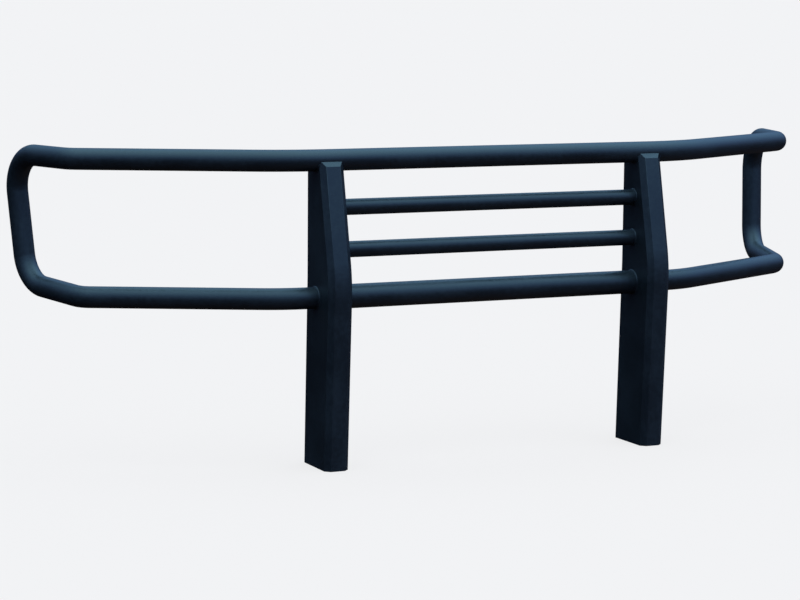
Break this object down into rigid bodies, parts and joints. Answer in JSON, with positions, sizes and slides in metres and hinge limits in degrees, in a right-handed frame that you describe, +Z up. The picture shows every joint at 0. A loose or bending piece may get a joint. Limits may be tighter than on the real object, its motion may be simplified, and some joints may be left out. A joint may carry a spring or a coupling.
{
  "type": "front grille guard",
  "caption": "Welded tubular front grille guard: two formed uprights, wraparound hoop with headlight loops, and crossbars between the uprights, in satin black.",
  "frame": {"origin": "middle of the four bracket bolt holes, on the plane of the mounting plates' back faces", "axes": "+X along the rails to the right as seen from in front, +Y back towards the vehicle, +Z up"},
  "size_m": [2.1022, 0.5799, 0.7444],
  "materials": {
    "black_powder_coat": "satin black powder coat with a fine texture over steel",
    "bare_steel": "uncoated mill-finish steel, sealed inside the tubes"
  },
  "bodies": {
    "root": {"left_upright": "black_powder_coat", "right_upright": "black_powder_coat", "left_top_cap": "black_powder_coat", "right_top_cap": "black_powder_coat", "left_mount_plate": "black_powder_coat", "right_mount_plate": "black_powder_coat", "left_web": "black_powder_coat", "right_web": "black_powder_coat", "left_weld_nuts": "black_powder_coat", "right_weld_nuts": "black_powder_coat", "top_rail": "black_powder_coat", "left_upper_wing": "black_powder_coat", "right_upper_wing": "black_powder_coat", "left_end_hoop": "black_powder_coat", "right_end_hoop": "black_powder_coat", "left_lower_wing": "black_powder_coat", "right_lower_wing": "black_powder_coat", "lower_crossbar": "black_powder_coat", "upper_grille_bar": "black_powder_coat", "lower_grille_bar": "black_powder_coat", "left_sleeves": "bare_steel", "right_sleeves": "bare_steel", "left_rail_welds": "black_powder_coat", "right_rail_welds": "black_powder_coat", "left_saddle_welds": "black_powder_coat", "right_saddle_welds": "black_powder_coat"}
  },
  "joints": []
}
